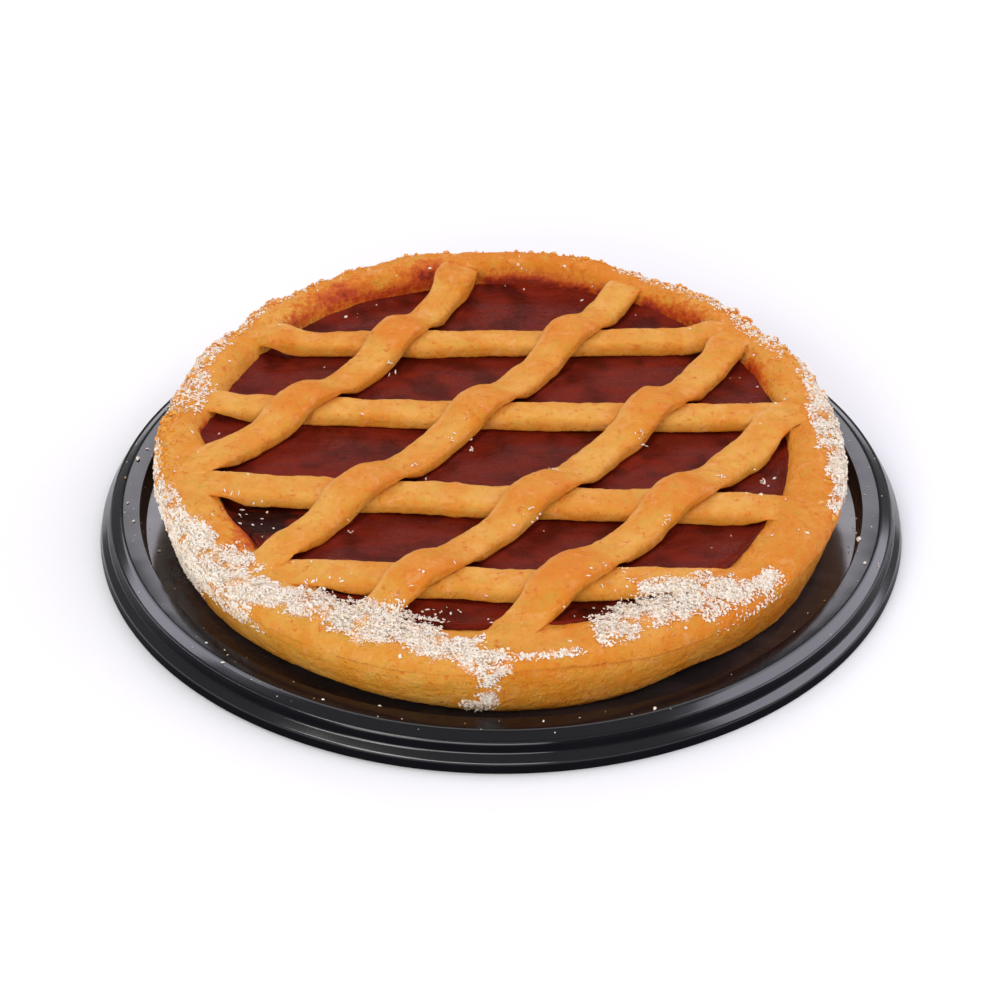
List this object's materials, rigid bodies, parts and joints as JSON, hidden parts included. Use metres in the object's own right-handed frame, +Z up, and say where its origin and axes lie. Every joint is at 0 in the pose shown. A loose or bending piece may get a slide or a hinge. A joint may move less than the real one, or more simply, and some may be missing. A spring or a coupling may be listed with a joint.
{
  "type": "quince tart",
  "caption": "Round jam tart with a rounded crust rim, a woven dough lattice over dark quince filling and grated coconut round the edge, on its low black serving tray.",
  "frame": {"origin": "on the table under the middle of the round tray's foot", "axes": "+Z up; the side shown in the picture faces -Y, and +X is to the viewer's right"},
  "size_m": [0.3, 0.3, 0.04],
  "materials": {
    "tray_black": "glossy black thermoformed sheet",
    "wall_crust": "baked shortcrust side wall, orange brown, matt and slightly crumbly",
    "rim_crust": "baked shortcrust rim, golden brown, matt",
    "ribbon_dough": "baked dough strips, golden, satin where the glaze lies",
    "quince_jam": "set quince jam, dark red brown and glossy",
    "coconut": "dry grated coconut, off-white"
  },
  "bodies": {
    "root": {"tray": "tray_black", "pastry_shell": "wall_crust", "rim_band": "rim_crust", "quince_filling": "quince_jam", "lower_ribbon_1": "ribbon_dough", "lower_ribbon_2": "ribbon_dough", "lower_ribbon_3": "ribbon_dough", "lower_ribbon_4": "ribbon_dough", "upper_ribbon_1": "ribbon_dough", "upper_ribbon_2": "ribbon_dough", "upper_ribbon_3": "ribbon_dough", "upper_ribbon_4": "ribbon_dough"}
  },
  "joints": []
}
